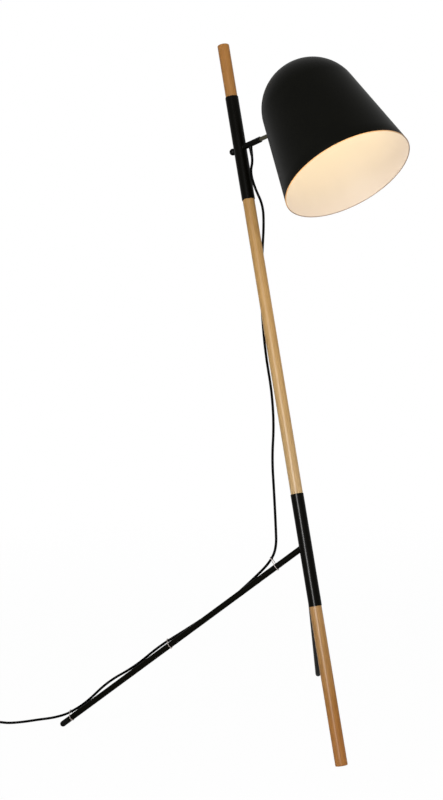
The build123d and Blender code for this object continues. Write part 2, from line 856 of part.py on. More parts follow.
hanging_names = ("lead_top", "lead_hanging", "lead_leg", "lead_floor")
for (points, radii), name in zip(lead_stretches(lead_hang_route, lead_splits), hanging_names):
    lead_tube(points, radii, name)
lead_tube(lead_coil_route, corner_radii(lead_coil_route), "lead_switch_to_coil", True)
lead_tube(lead_plug_route, corner_radii(lead_plug_route), "lead_coil_to_plug", True)

with BuildPart() as lead_coil:
    with BuildSketch(Plane.XY):
        with Locations(coil_centre):
            Circle(coil_d / 2)
            Circle(coil_hole_d / 2, mode=Mode.SUBTRACT)
    extrude(amount=coil_height)
    fillet(lead_coil.edges().filter_by(GeomType.CIRCLE), lead_d / 2 - 0.2)
save(lead_coil, "lead_coil")

with BuildPart() as cord_ties:
    for place, aside, above in lead_ties:
        for growth, mode in ((tie_thickness, Mode.ADD), (0.0, Mode.SUBTRACT)):
            with BuildSketch(leg_axes[0].offset(place - tie_width / 2)):
                Circle(leg_d / 2 + tie_play + growth)
                with Locations((aside, above)):
                    Circle(lead_d / 2 + tie_lead_play + growth)
                make_hull()
            extrude(amount=tie_width, mode=mode)
        knot_turn = Location((0, 0, 0), (0, 0, -degrees(atan2(aside, above))))
        with BuildSketch(leg_axes[0].offset(place - tie_width)):
            with Locations(knot_turn * Location((0, -leg_d / 2 - tie_play - tie_thickness))):
                RectangleRounded(tie_knot_width, tie_knot_depth, 0.8)
            Circle(leg_d / 2 + tie_play, mode=Mode.SUBTRACT)
        extrude(amount=2 * tie_width)
save(cord_ties, "cord_ties")

# ---------------------------------------------------------------- in-line switch
switch_middle = switch_length / 2
lead_line = Plane(
    origin=switch_plane.offset(switch_split).origin,
    x_dir=switch_plane.y_dir,
    z_dir=switch_plane.x_dir,
)
rocker_origin = switch_plane.from_local_coords(Vector(switch_middle, 0, rocker_pivot))
rocker_axis = Plane(origin=rocker_origin, x_dir=switch_plane.x_dir, z_dir=-switch_plane.y_dir)
rocker_plane = Plane(rocker_axis.location * Location((0, 0, 0), (0, 0, -rocker_tilt)))
lug_start = rocker_width / 2 + rocker_play
lug_thickness = 2.0

with BuildPart() as switch_base:
    with BuildSketch(switch_plane):
        with Locations((switch_middle, 0)):
            RectangleRounded(switch_length, switch_width, switch_width / 3)
    extrude(amount=switch_split - seat)
    fillet(switch_base.faces().sort_by(Axis.Z)[0].edges(), 2.0)
    with BuildSketch(switch_plane.offset(switch_wall)):
        with Locations((switch_middle, 0)):
            RectangleRounded(
                switch_length - 2 * switch_wall,
                switch_width - 2 * switch_wall,
                switch_width / 3 - switch_wall,
            )
    extrude(amount=switch_split, mode=Mode.SUBTRACT)
    with BuildSketch(lead_line):
        Circle(lead_d / 2 + seat)
    extrude(amount=switch_length, mode=Mode.SUBTRACT)
save(switch_base, "switch_base")

with BuildPart() as switch_cover:
    with BuildSketch(switch_plane.offset(switch_split)):
        with Locations((switch_middle, 0)):
            RectangleRounded(switch_length, switch_width, switch_width / 3)
    extrude(amount=switch_height - switch_split)
    fillet(switch_cover.faces().sort_by(Axis.Z)[-1].edges(), 3.0)
    with BuildSketch(switch_plane.offset(switch_split)):
        with Locations((switch_middle, 0)):
            RectangleRounded(
                switch_length - 2 * switch_wall,
                switch_width - 2 * switch_wall,
                switch_width / 3 - switch_wall,
            )
    extrude(amount=switch_height - switch_wall - switch_split, mode=Mode.SUBTRACT)
    with BuildSketch(rocker_axis.offset(lug_start), rocker_axis.offset(-lug_start - lug_thickness)):
        Rectangle(8.0, 2 * (switch_height - switch_wall - rocker_pivot) + 1.0)
    extrude(amount=lug_thickness)
    with BuildSketch(rocker_axis.offset(-switch_width / 2 + switch_wall)):
        Circle(rocker_pin_d / 2 + running)
    extrude(amount=switch_width - 2 * switch_wall, mode=Mode.SUBTRACT)
    with BuildSketch(switch_plane.offset(switch_split + switch_wall)):
        with Locations((switch_middle, 0)):
            Rectangle(rocker_length + 2 * rocker_play, rocker_width + 2 * rocker_play)
    extrude(amount=switch_height, mode=Mode.SUBTRACT)
    with BuildSketch(lead_line):
        Circle(lead_d / 2 + seat)
    extrude(amount=switch_length, mode=Mode.SUBTRACT)
save(switch_cover, "switch_cover")

with BuildPart() as switch_rocker:
    with BuildSketch(rocker_plane.offset(-rocker_width / 2)):
        with BuildLine():
            half = rocker_length / 2 - 0.35
            rise = switch_height - rocker_pivot
            Polyline(
                (-half, rise + 1.4), (-half, rise - 2.2), (-3.0, -2.6), (3.0, -2.6),
                (half, rise - 2.2), (half, rise + 1.4),
            )
            ThreePointArc((half, rise + 1.4), (0, rise + 0.3), (-half, rise + 1.4))
        make_face()
    extrude(amount=rocker_width)
    with BuildSketch(rocker_plane.offset(-lug_start - lug_thickness)):
        Circle(rocker_pin_d / 2)
    extrude(amount=2 * (lug_start + lug_thickness))
save(switch_rocker, "switch_rocker")

# ---------------------------------------------------------------- mains plug
with BuildPart() as plug_body:
    for place, width, height, radius in (
        (plug_relief, 15.0, 12.2, 5.0),
        (plug_relief + 9, 29.0, plug_height, 5.5),
        (plug_relief + 20, plug_width, plug_height, 6.0),
    ):
        with BuildSketch(plug_axis.offset(place)):
            RectangleRounded(width, height, radius)
    loft()
    with BuildSketch(plug_axis.offset(plug_relief + 20)):
        RectangleRounded(plug_width, plug_height, 6.0)
    extrude(amount=plug_length - 20)
    with BuildSketch(section(plug_axis)):
        with BuildLine():
            Polyline(
                (0, 0), (lead_d / 2 + 0.4, 0), (lead_d / 2 + 2.4, plug_relief), (0, plug_relief),
                close=True,
            )
        make_face()
    revolve(axis=spindle(plug_axis))
    for ring in range(4):
        with BuildSketch(plug_axis.offset(3.0 + 5 * ring)):
            Circle(lead_d)
            Circle(lead_d / 2 + 0.3, mode=Mode.SUBTRACT)
        extrude(amount=1.6, mode=Mode.SUBTRACT)
save(plug_body, "plug_body")

with BuildPart() as plug_pins:
    with BuildSketch(plug_axis.offset(plug_relief + plug_length + seat)):
        with Locations((-pin_spacing / 2, 0), (pin_spacing / 2, 0)):
            Circle(pin_d / 2)
    extrude(amount=pin_length)
    fillet(plug_pins.edges().filter_by(GeomType.CIRCLE).group_by(spindle(plug_axis))[-1], pin_rounding)
save(plug_pins, "plug_pins")
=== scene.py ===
from math import asin, atan, atan2, cos, degrees, hypot, pi, radians, sin, sqrt, tan

import bmesh
import bpy
from mathutils import Matrix, Vector


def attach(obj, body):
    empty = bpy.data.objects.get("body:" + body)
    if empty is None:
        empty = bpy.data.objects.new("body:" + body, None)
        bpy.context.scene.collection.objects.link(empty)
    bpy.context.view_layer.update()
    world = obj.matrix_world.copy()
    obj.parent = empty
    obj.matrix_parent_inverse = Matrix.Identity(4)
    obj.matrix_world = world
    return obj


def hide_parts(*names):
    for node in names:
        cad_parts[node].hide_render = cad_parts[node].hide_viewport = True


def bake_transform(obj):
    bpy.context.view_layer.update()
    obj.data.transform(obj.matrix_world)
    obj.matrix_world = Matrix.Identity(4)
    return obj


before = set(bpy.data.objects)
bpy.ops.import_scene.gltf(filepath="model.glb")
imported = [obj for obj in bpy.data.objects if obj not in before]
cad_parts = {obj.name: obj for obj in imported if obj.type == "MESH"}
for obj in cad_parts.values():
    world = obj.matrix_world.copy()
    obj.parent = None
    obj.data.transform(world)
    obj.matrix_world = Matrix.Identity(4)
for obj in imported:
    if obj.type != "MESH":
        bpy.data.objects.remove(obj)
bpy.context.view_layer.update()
scene = bpy.context.scene
scene.view_settings.view_transform = "Standard"

cameraView = {
    "place": (2.5969, -2.0012, 1.1609),
    "turn": 57.066,  # degrees
    "down": 5.958,  # degrees below level
    "lens": 68.37,
    "shift": (0.00038, -0.00025),
    "clip": (0.05, 60),
}
cameraData = bpy.data.cameras.new("camera")
cameraData.lens = cameraView["lens"]
cameraData.shift_x, cameraData.shift_y = cameraView["shift"]
cameraData.clip_start, cameraData.clip_end = cameraView["clip"]
cameraObject = bpy.data.objects.new("camera", cameraData)
cameraObject.location = cameraView["place"]
cameraObject.rotation_euler = (radians(90 - cameraView["down"]), 0, radians(cameraView["turn"]))
scene.collection.objects.link(cameraObject)
scene.camera = cameraObject

# the leaning pole, the turned head, the shade and the legs, in metres and degrees
lampAxes = {
    "lean": 16.6,
    "armHeight": 1.437,  # along the pole
    "headTurn": 12.3,
    "shadeReach": 0.241,  # from the pole to the shade's axis, along the arm
    "shadeHang": 0.174,  # of the mouth below the arm
    "shadeTilt": 20.7,
    "bulbReach": 0.238,  # from the pole to the bulb's middle, along the arm
    "legHeight": 0.497,  # along the pole
    "footBack": 0.454,  # from under the crossing of the legs' axes
    "footSide": 0.3839,
    "footTurn": 0.59,  # of the pair of legs, round from the pole's lean
    "legRadius": 0.007,
}


# the place of a piece that is made round Z: where its origin goes, and its Z and X
def axisMatrix(origin, zDir, xDir):
    z = Vector(zDir).normalized()
    x = (Vector(xDir) - z * z.dot(Vector(xDir))).normalized()
    matrix = Matrix((x, z.cross(x), z)).transposed().to_4x4()
    matrix.translation = Vector(origin)
    return matrix


lean = radians(lampAxes["lean"])
poleDir = Vector((-sin(lean), 0, cos(lean)))
poleFront = Vector((cos(lean), 0, sin(lean)))
poleAxis = axisMatrix((0, 0, 0), poleDir, poleFront)
headTurn = radians(lampAxes["headTurn"])
armDir = poleFront * cos(headTurn) + Vector((0, 1, 0)) * sin(headTurn)
armSide = poleDir.cross(armDir)
armOrigin = poleDir * lampAxes["armHeight"]
armAxis = axisMatrix(armOrigin, armDir, armSide)
clampAxis = axisMatrix(armOrigin, -armDir, armSide)
shadeTilt = radians(lampAxes["shadeTilt"])
shadeDir = poleDir * cos(shadeTilt) - armDir * sin(shadeTilt)
mouthCentre = armOrigin + armDir * lampAxes["shadeReach"] - shadeDir * lampAxes["shadeHang"]
shadeAxis = axisMatrix(mouthCentre, shadeDir, armSide)
bulbMiddle = armOrigin + armDir * lampAxes["bulbReach"]
legOrigin = poleDir * lampAxes["legHeight"]
legAxes = {}
for legName, side in (("left", -1), ("rear", 1)):
    reach = Vector((-lampAxes["footBack"], side * lampAxes["footSide"], 0))
    reach.rotate(Matrix.Rotation(radians(lampAxes["footTurn"]), 3, "Z"))
    tip = Vector((legOrigin.x, 0, lampAxes["legRadius"])) + reach
    legDir = tip - legOrigin
    legAxes[legName] = axisMatrix(legOrigin, legDir, Vector((0, 0, 1)).cross(legDir))
legReach = legDir.length  # both legs are as long
print("camera and axes set")


def linear(r, g, b):  # a screen tone of 0 to 255 as a scene colour
    tones = [c / 255 for c in (r, g, b)]
    return [t / 12.92 if t <= 0.04045 else ((t + 0.055) / 1.055) ** 2.4 for t in tones] + [1.0]


def makeGroup(name, inputs, outputs):
    group = bpy.data.node_groups.new(name, "ShaderNodeTree")
    for label, kind, value in inputs:
        socket = group.interface.new_socket(label, in_out="INPUT", socket_type=kind)
        if value is not None:
            socket.default_value = value
    for label, kind in outputs:
        group.interface.new_socket(label, in_out="OUTPUT", socket_type=kind)
    nodes = group.nodes
    return group, nodes, group.links.new, nodes.new("NodeGroupInput"), nodes.new("NodeGroupOutput")


def addNode(nodes, kind, **settings):
    node = nodes.new(kind)
    for key, value in settings.items():
        if key in node.inputs:
            node.inputs[key].default_value = value
        else:
            setattr(node, key, value)
    return node


def addRange(nodes, low, high, toLow=0.0, toHigh=1.0):
    node = nodes.new("ShaderNodeMapRange")
    for label, value in (("From Min", low), ("From Max", high), ("To Min", toLow), ("To Max", toHigh)):
        node.inputs[label].default_value = value
    return node


def addRamp(nodes, stops):  # each stop's position and colour
    node = nodes.new("ShaderNodeValToRGB")
    elements = node.color_ramp.elements
    for i, (position, color) in enumerate(stops):
        stop = elements[i] if i < 2 else elements.new(position)
        stop.position, stop.color = position, color
    return node


# a sprayed or moulded skin: its fine height, and a roughness that drifts a little
def makeFineSkin():
    group, nodes, link, given, out = makeGroup(
        "fineSkin",
        [("Vector", "NodeSocketVector", None), ("Scale", "NodeSocketFloat", 900.0),
         ("Roughness", "NodeSocketFloat", 0.5), ("Drift", "NodeSocketFloat", 0.08)],
        [("Height", "NodeSocketFloat"), ("Roughness", "NodeSocketFloat")],
    )
    fine = addNode(nodes, "ShaderNodeTexNoise", Detail=3.0)
    broad = addNode(nodes, "ShaderNodeTexNoise", Scale=14.0, Detail=4.0)
    centred = addNode(nodes, "ShaderNodeMath", operation="SUBTRACT")
    centred.inputs[1].default_value = 0.5
    scaled = addNode(nodes, "ShaderNodeMath", operation="MULTIPLY")
    added = addNode(nodes, "ShaderNodeMath", operation="ADD")
    link(given.outputs["Vector"], fine.inputs["Vector"])
    link(given.outputs["Scale"], fine.inputs["Scale"])
    link(given.outputs["Vector"], broad.inputs["Vector"])
    link(broad.outputs["Fac"], centred.inputs[0])
    link(centred.outputs[0], scaled.inputs[0])
    link(given.outputs["Drift"], scaled.inputs[1])
    link(scaled.outputs[0], added.inputs[0])
    link(given.outputs["Roughness"], added.inputs[1])
    link(fine.outputs["Fac"], out.inputs["Height"])
    link(added.outputs[0], out.inputs["Roughness"])
    return group


# ash along Z: growth rings round a pith beside the piece, fine streaks, and dashes of open pores
ashShape = {
    "pith": (0.052, 0.031, 0.0),  # metres from the piece's axis
    "ringScale": 96.0,  # about 3 mm a ring
    "wander": 2.6,
    "stretch": 0.045,
    "poreScale": 1700.0,
    "streakScale": 420.0,
    # how dark across a ring, from its porous early wood to its dense late wood
    "ringTones": ((0.0, 0.85), (0.35, 0.12), (1.0, 0.55)),
    "ringWarp": 0.35,
    "streakTones": (0.36, 0.66, -0.22, 0.42),
    "poreTones": (0.60, 0.70),
    "poreDarkness": 0.9,
    "darkest": (0.62, 0.50, 0.38, 1),  # what the darkest grain keeps of the tone
    "roughness": 0.38,
    "poreRoughness": 0.2,  # added in the pores
    "bump": 0.2,
    "specular": 0.085,
}


def makeAshGrain(shape):
    group, nodes, link, given, out = makeGroup(
        "ashGrain",
        [("Vector", "NodeSocketVector", None), ("Light", "NodeSocketColor", (0.7, 0.45, 0.2, 1)),
         ("Contrast", "NodeSocketFloat", 0.5)],
        [("Color", "NodeSocketColor"), ("Height", "NodeSocketFloat"), ("Roughness", "NodeSocketFloat")],
    )
    stretched = addNode(nodes, "ShaderNodeMapping")
    stretched.inputs["Scale"].default_value = (1, 1, shape["stretch"])
    beside = addNode(nodes, "ShaderNodeMapping")
    beside.inputs["Location"].default_value = shape["pith"]
    rings = addNode(nodes, "ShaderNodeTexWave", wave_type="RINGS", rings_direction="Z", wave_profile="SAW",
                    Scale=shape["ringScale"], Distortion=shape["wander"], Detail=2.0)
    rings.inputs["Detail Scale"].default_value = shape["ringWarp"]
    streaks = addNode(nodes, "ShaderNodeTexNoise", Scale=shape["streakScale"], Detail=3.0, Roughness=0.6)
    pores = addNode(nodes, "ShaderNodeTexNoise", Scale=shape["poreScale"], Detail=1.0)
    ringTone = addRamp(nodes, [(position, (tone, tone, tone, 1)) for position, tone in shape["ringTones"]])
    streakTone = addRange(nodes, *shape["streakTones"])
    poreTone = addRange(nodes, *shape["poreTones"])
    poreShare = addNode(nodes, "ShaderNodeMath", operation="MULTIPLY")
    ringShare = addNode(nodes, "ShaderNodeMath", operation="ADD")
    poreAdded = addNode(nodes, "ShaderNodeMath", operation="MULTIPLY_ADD")
    poreAdded.inputs[1].default_value = shape["poreDarkness"]
    total = addNode(nodes, "ShaderNodeMath", operation="MULTIPLY", use_clamp=True)
    dark = addNode(nodes, "ShaderNodeMix", data_type="RGBA", blend_type="MULTIPLY")
    dark.inputs[7].default_value = shape["darkest"]
    height = addNode(nodes, "ShaderNodeMath", operation="SUBTRACT")
    height.inputs[0].default_value = 1.0
    rough = addNode(nodes, "ShaderNodeMath", operation="MULTIPLY_ADD")
    rough.inputs[1].default_value = shape["poreRoughness"]
    rough.inputs[2].default_value = shape["roughness"]
    link(given.outputs["Vector"], stretched.inputs["Vector"])
    link(stretched.outputs["Vector"], beside.inputs["Vector"])
    link(beside.outputs["Vector"], rings.inputs["Vector"])
    link(stretched.outputs["Vector"], streaks.inputs["Vector"])
    link(stretched.outputs["Vector"], pores.inputs["Vector"])
    link(rings.outputs["Fac"], ringTone.inputs["Fac"])
    link(streaks.outputs["Fac"], streakTone.inputs["Value"])
    link(pores.outputs["Fac"], poreTone.inputs["Value"])
    link(ringTone.outputs["Color"], ringShare.inputs[0])
    link(streakTone.outputs["Result"], ringShare.inputs[1])
    link(poreTone.outputs["Result"], poreShare.inputs[0])
    link(ringTone.outputs["Color"], poreShare.inputs[1])  # the pores lie in the early wood
    link(poreShare.outputs[0], poreAdded.inputs[0])
    link(ringShare.outputs[0], poreAdded.inputs[2])
    link(poreAdded.outputs[0], total.inputs[0])
    link(given.outputs["Contrast"], total.inputs[1])
    link(total.outputs[0], dark.inputs["Factor"])
    link(given.outputs["Light"], dark.inputs[6])
    link(poreShare.outputs[0], height.inputs[1])
    link(poreShare.outputs[0], rough.inputs[0])
    link(dark.outputs[2], out.inputs["Color"])
    link(height.outputs[0], out.inputs["Height"])
    link(rough.outputs[0], out.inputs["Roughness"])
    return group


fineSkin = makeFineSkin()
ashGrain = makeAshGrain(ashShape)


def newMaterial(name):
    material = bpy.data.materials.new(name)
    material.use_nodes = True
    nodes, link = material.node_tree.nodes, material.node_tree.links.new
    return material, nodes, link, nodes["Principled BSDF"]


def placeGroup(nodes, group, **values):
    node = nodes.new("ShaderNodeGroup")
    node.node_tree = group
    for key, value in values.items():
        node.inputs[key].default_value = value
    return node


bumpDepth = 0.0002  # metres


def addBump(nodes, link, height, shader, strength):
    bump = addNode(nodes, "ShaderNodeBump", Strength=strength, Distance=bumpDepth)
    link(height, bump.inputs["Height"])
    link(bump.outputs["Normal"], shader.inputs["Normal"])


# paint, plastic or metal: the fine skin, and broad clouds of a slightly lighter and darker tone
def skinMaterial(name, color, roughness, scale=900.0, bump=0.15, tone=0.12, metallic=0.0, specular=0.5):
    material, nodes, link, shader = newMaterial(name)
    place = nodes.new("ShaderNodeTexCoord")
    skin = placeGroup(nodes, fineSkin, Scale=scale, Roughness=roughness, Drift=0.08)
    link(place.outputs["Object"], skin.inputs["Vector"])
    link(skin.outputs["Roughness"], shader.inputs["Roughness"])
    addBump(nodes, link, skin.outputs["Height"], shader, bump)
    cloud = addNode(nodes, "ShaderNodeTexNoise", Scale=22.0, Detail=5.0)
    darker = [c * (1 - tone) for c in color[:3]] + [1]
    lighter = [min(1, c * (1 + tone)) for c in color[:3]] + [1]
    ramp = addRamp(nodes, [(0.35, darker), (0.7, lighter)])
    link(place.outputs["Object"], cloud.inputs["Vector"])
    link(cloud.outputs["Fac"], ramp.inputs["Fac"])
    link(ramp.outputs["Color"], shader.inputs["Base Color"])
    shader.inputs["Metallic"].default_value = metallic
    shader.inputs["Specular IOR Level"].default_value = specular
    return material


# the colour along the pole, lighter in its middle and darker towards both ends: height in metres and colour
poleTones = {
    "reach": 1.70,
    "stops": [
        (0.00, linear(176, 120, 64)), (0.13, linear(172, 120, 62)), (0.24, linear(178, 134, 80)),
        (0.34, linear(184, 142, 90)), (0.60, linear(208, 176, 128)), (0.80, linear(204, 168, 114)),
        (1.05, linear(204, 164, 106)), (1.28, linear(192, 150, 92)), (1.50, linear(186, 140, 82)),
        (1.58, linear(174, 124, 68)), (1.69, linear(174, 122, 64)),
    ],
}


# one length of the pole; the shift gives it a grain of its own
def woodMaterial(name, contrast, shift):
    material, nodes, link, shader = newMaterial(name)
    place = nodes.new("ShaderNodeTexCoord")
    turned = addNode(nodes, "ShaderNodeMapping")
    turned.inputs["Rotation"].default_value = (0, lean, 0)  # the pole's axis onto Z
    shifted = addNode(nodes, "ShaderNodeMapping")
    shifted.inputs["Location"].default_value = shift
    split = nodes.new("ShaderNodeSeparateXYZ")
    along = addRange(nodes, 0.0, poleTones["reach"])
    tone = addRamp(nodes, [(height / poleTones["reach"], color) for height, color in poleTones["stops"]])
    grain = placeGroup(nodes, ashGrain, Contrast=contrast)
    link(place.outputs["Object"], turned.inputs["Vector"])
    link(turned.outputs["Vector"], shifted.inputs["Vector"])
    link(turned.outputs["Vector"], split.inputs["Vector"])
    link(split.outputs["Z"], along.inputs["Value"])
    link(along.outputs["Result"], tone.inputs["Fac"])
    link(shifted.outputs["Vector"], grain.inputs["Vector"])
    link(tone.outputs["Color"], grain.inputs["Light"])
    link(grain.outputs["Color"], shader.inputs["Base Color"])
    link(grain.outputs["Roughness"], shader.inputs["Roughness"])
    addBump(nodes, link, grain.outputs["Height"], shader, ashShape["bump"])
    shader.inputs["Specular IOR Level"].default_value = ashShape["specular"]
    return material


finishes = {
    "ashLower": woodMaterial("ashLower", 0.62, (0.013, -0.009, 0.31)),
    "ashUpper": woodMaterial("ashUpper", 0.55, (-0.006, 0.017, -0.22)),
    "blackPaint": skinMaterial("blackPaint", linear(9, 8, 5), 0.26, bump=0.015, specular=0.03),
    "legBlack": skinMaterial("legBlack", linear(11, 10, 6), 0.34, bump=0.03, specular=0.012),
    "shadeBlack": skinMaterial("shadeBlack", linear(8, 8, 5), 0.44, bump=0.08, specular=0.03),
    "rubbedBlack": skinMaterial("rubbedBlack", linear(12, 12, 11), 0.38, specular=0.02),
    "satinRod": skinMaterial("satinRod", linear(66, 64, 51), 0.34, bump=0.05, metallic=0.9),
    "zincSteel": skinMaterial("zincSteel", linear(176, 176, 172), 0.35, metallic=1.0, bump=0.08),
    "blackPlastic": skinMaterial("blackPlastic", linear(12, 12, 11), 0.45, scale=1400.0, specular=0.03),
    "leadSheath": skinMaterial("leadSheath", linear(7, 7, 6), 0.6, bump=0.05, specular=0.006),
    "paleNylon": skinMaterial("paleNylon", linear(222, 218, 206), 0.5),
    "clearNylon": skinMaterial("clearNylon", linear(158, 146, 140), 0.35, tone=0.05),
    "brownCore": skinMaterial("brownCore", linear(112, 66, 36), 0.4),
    "whiteCeramic": skinMaterial("whiteCeramic", linear(230, 228, 220), 0.3),
    "contactBrass": skinMaterial("contactBrass", linear(206, 170, 96), 0.3, metallic=1.0),
    "platedBrass": skinMaterial("platedBrass", linear(196, 192, 184), 0.26, metallic=1.0),
}


# warm light on the shade's white inside and in the bulb, which fades along its reach from a centre
glows = {
    "shadeInside": {"centre": bulbMiddle, "reach": (0.09, 0.26), "near": linear(255, 244, 206),
                    "far": linear(184, 168, 166), "strength": 0.49, "base": linear(206, 194, 178),
                    "roughness": 0.45, "specular": 0.1},
    "opalGlass": {"centre": bulbMiddle + armDir * 0.012, "reach": (0.02, 0.06),
                  "near": linear(255, 240, 208), "far": linear(250, 206, 140), "strength": 1.6,
                  "base": linear(250, 244, 230), "roughness": 0.25, "specular": 0.5},
}
# the rolled edge of the shade: brown, and warm on the side where the bulb shines past it
lipGlow = {
    "color": linear(178, 152, 130),
    "roughness": 0.5,
    "specular": 0.1,
    "glow": linear(255, 182, 80),
    "strength": 0.8,
    "litSide": (0.62, -0.78, 0.0),
    "reach": (0.0, 0.12),  # from the mouth's middle to that side
}


def glowMaterial(name, glow):
    material, nodes, link, shader = newMaterial(name)
    place = nodes.new("ShaderNodeTexCoord")
    away = addNode(nodes, "ShaderNodeVectorMath", operation="DISTANCE")
    away.inputs[1].default_value = glow["centre"]
    fade = addRange(nodes, *glow["reach"])
    tone = addRamp(nodes, [(0.0, glow["near"]), (1.0, glow["far"])])
    skin = placeGroup(nodes, fineSkin, Scale=1200.0, Roughness=glow["roughness"], Drift=0.05)
    link(place.outputs["Object"], away.inputs[0])
    link(place.outputs["Object"], skin.inputs["Vector"])
    link(away.outputs["Value"], fade.inputs["Value"])
    link(fade.outputs["Result"], tone.inputs["Fac"])
    link(tone.outputs["Color"], shader.inputs["Emission Color"])
    link(skin.outputs["Roughness"], shader.inputs["Roughness"])
    addBump(nodes, link, skin.outputs["Height"], shader, 0.06)
    shader.inputs["Base Color"].default_value = glow["base"]
    shader.inputs["Emission Strength"].default_value = glow["strength"]
    shader.inputs["Specular IOR Level"].default_value = glow["specular"]
    return material


def lipMaterial(name, lip):
    material = skinMaterial(name, lip["color"], lip["roughness"], specular=lip["specular"])
    nodes, link = material.node_tree.nodes, material.node_tree.links.new
    shader = nodes["Principled BSDF"]
    place = nodes.new("ShaderNodeTexCoord")
    fromMiddle = addNode(nodes, "ShaderNodeVectorMath", operation="SUBTRACT")
    fromMiddle.inputs[1].default_value = mouthCentre
    along = addNode(nodes, "ShaderNodeVectorMath", operation="DOT_PRODUCT")
    along.inputs[1].default_value = lip["litSide"]
    lit = addRange(nodes, *lip["reach"], 0.0, lip["strength"])
    link(place.outputs["Object"], fromMiddle.inputs[0])
    link(fromMiddle.outputs["Vector"], along.inputs[0])
    link(along.outputs["Value"], lit.inputs["Value"])
    link(lit.outputs["Result"], shader.inputs["Emission Strength"])
    shader.inputs["Emission Color"].default_value = lip["glow"]
    return material


finishes["shadeEdge"] = lipMaterial("shadeEdge", lipGlow)
for glowName, glow in glows.items():
    finishes[glowName] = glowMaterial(glowName, glow)
print("finishes made")

meshing = {
    "mergeWithin": 1e-7,
    "bevelSegments": 2,
    "bevelAngle": 40,  # degrees, past which an edge is rounded
}


# turns a bmesh into a piece in its place, with its finishes, that rides on a body
def finishPiece(bm, name, body, materials, place=None, nodes=(), bevel=0.0, crease=32):
    bmesh.ops.remove_doubles(bm, verts=bm.verts, dist=meshing["mergeWithin"])
    bmesh.ops.recalc_face_normals(bm, faces=bm.faces)
    if place is not None:
        bmesh.ops.transform(bm, matrix=place, verts=bm.verts)
    mesh = bpy.data.meshes.new(name)
    bm.to_mesh(mesh)
    bm.free()
    mesh.shade_smooth()
    mesh.set_sharp_from_angle(angle=radians(crease))
    piece = bpy.data.objects.new(name, mesh)
    scene.collection.objects.link(piece)
    for material in materials:
        mesh.materials.append(finishes[material])
    if bevel:
        rounding = piece.modifiers.new("roundedEdges", "BEVEL")
        rounding.width, rounding.segments = bevel, meshing["bevelSegments"]
        rounding.limit_method, rounding.angle_limit = "ANGLE", radians(meshing["bevelAngle"])
    if body:
        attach(piece, body)
    if nodes:
        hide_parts(*nodes)
    return piece


# an outline of (radius, height), turned about Z; a closed outline makes a ring
def spunProfile(bm, profile, steps=96, closed=False):
    verts = [bm.verts.new((r, 0, z)) for r, z in profile]
    edges = [bm.edges.new(pair) for pair in zip(verts, verts[1:])]
    if closed:
        edges.append(bm.edges.new((verts[-1], verts[0])))
    bmesh.ops.spin(bm, geom=verts + edges, cent=(0, 0, 0), axis=(0, 0, 1), angle=2 * pi,
                   steps=steps, use_merge=True)
    bmesh.ops.remove_doubles(bm, verts=bm.verts, dist=meshing["mergeWithin"])


def arcPoints(centreR, centreZ, radius, start, end, count):  # angles in degrees from outwards
    angles = [radians(start + (end - start) * i / count) for i in range(count + 1)]
    return [(centreR + radius * cos(a), centreZ + radius * sin(a)) for a in angles]


def straightPoints(start, end, count):
    return [tuple(a + (b - a) * i / count for a, b in zip(start, end)) for i in range(count + 1)]


def turned(name, profile, place, body, slotName, finish, nodes=(), steps=96, closed=False,
           bevel=0.0, crease=32):
    bm = bmesh.new()
    spunProfile(bm, profile, steps, closed)
    return finishPiece(bm, name, body, [finish], place, nodes, bevel, crease)


def ring(name, inner, outer, low, high, place, body, slotName, finish, nodes=(), bevel=0.0003):
    outline = [(inner, low), (outer, low), (outer, high), (inner, high)]
    return turned(name, outline, place, body, slotName, finish, nodes, closed=True, bevel=bevel)


# the mains lead: its route's corners are those of the solids
leadShape = {
    "diameter": 0.006,
    "coilCentre": (-0.7317, -0.6572),
    "coilOuter": 0.0393,  # of the outer turn's middle
    "coilInner": 0.0266,
    "coilStart": 150,  # degrees
    "bottomTurns": 2.05,
    "risingTurns": 0.35,
    "topTurns": 2.10,
    "pointsPerTurn": 20,
    "layers": (0.0030, 0.0091),
}
topRoute = [
    (-0.3719, 0.0070, 1.3604), (-0.3679, 0.0070, 1.3470), (-0.3684, 0.0006, 1.3214),
    (-0.3610, 0.0078, 1.2856), (-0.3498, 0.0242, 1.2439), (-0.3475, 0.0246, 1.1952),
    (-0.3467, 0.0224, 1.1709),
]
mainRoute = [
    (-0.3467, 0.0224, 1.1709), (-0.3458, 0.0202, 1.1465), (-0.3414, 0.0145, 1.0977),
    (-0.3327, 0.0074, 1.0460), (-0.3148, -0.0003, 0.9700), (-0.2957, -0.0036, 0.8930),
    (-0.2736, -0.0024, 0.8160), (-0.2577, -0.0071, 0.7380), (-0.2452, -0.0209, 0.6640),
    (-0.2307, -0.0251, 0.5900), (-0.2129, -0.0324, 0.5140), (-0.2026, -0.0372, 0.4636),
    (-0.2091, -0.0512, 0.4303), (-0.2394, -0.0750, 0.3902), (-0.2814, -0.1059, 0.3404),
    (-0.3282, -0.1453, 0.2938), (-0.3711, -0.1861, 0.2525), (-0.4109, -0.2254, 0.2155),
    (-0.4615, -0.2640, 0.1590), (-0.5099, -0.3097, 0.1191), (-0.5569, -0.3426, 0.0613),
    (-0.5893, -0.3685, 0.0333), (-0.6233, -0.3724, 0.0168), (-0.6570, -0.3860, 0.0032),
    (-0.6640, -0.4200, 0.0030), (-0.6670, -0.4550, 0.0030), (-0.6770, -0.4890, 0.0030),
    (-0.6880, -0.5050, 0.0045), (-0.6990, -0.5224, 0.0080), (-0.7105, -0.5423, 0.0080),
    (-0.7355, -0.5857, 0.0080), (-0.7470, -0.6056, 0.0080), (-0.7570, -0.6210, 0.0045),
]
plugRoute = [(-0.6890, -0.6600, 0.0086), (-0.6790, -0.6447, 0.0069), (-0.6700, -0.6291, 0.0069)]


